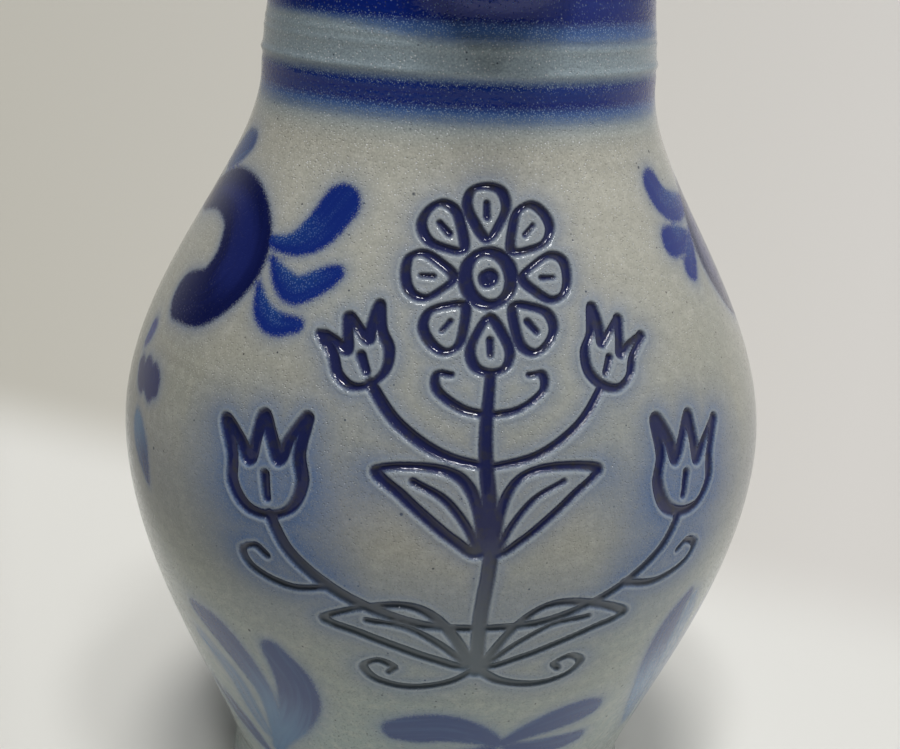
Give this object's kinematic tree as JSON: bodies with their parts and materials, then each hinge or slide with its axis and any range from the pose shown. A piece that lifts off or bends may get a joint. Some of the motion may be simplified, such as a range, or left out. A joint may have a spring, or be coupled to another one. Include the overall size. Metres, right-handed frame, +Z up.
{
  "type": "stoneware jug",
  "caption": "Bulbous grey salt-glazed stoneware jug with a short ringed neck, pinched pouring spout and strap handle, decorated in cobalt blue, for serving drinks.",
  "frame": {"origin": "centre of the flat base, on the axis that the body is turned about", "axes": "+Z up along the turning axis, -Y toward the spout, +Y toward the handle, +X to the right of someone facing the spout"},
  "size_m": [0.18, 0.1954, 0.253],
  "materials": {
    "body_stoneware": "glossy salt glaze with a fine orange-peel grain over grey stoneware, cobalt-blue ornament",
    "handle_stoneware": "glossy salt glaze over grey stoneware",
    "luting_clay": "glossy salt glaze over grey stoneware"
  },
  "bodies": {
    "root": {"jug_body": "body_stoneware", "handle": "handle_stoneware", "upper_luting_roll": "luting_clay", "lower_luting_roll": "luting_clay"}
  },
  "joints": []
}
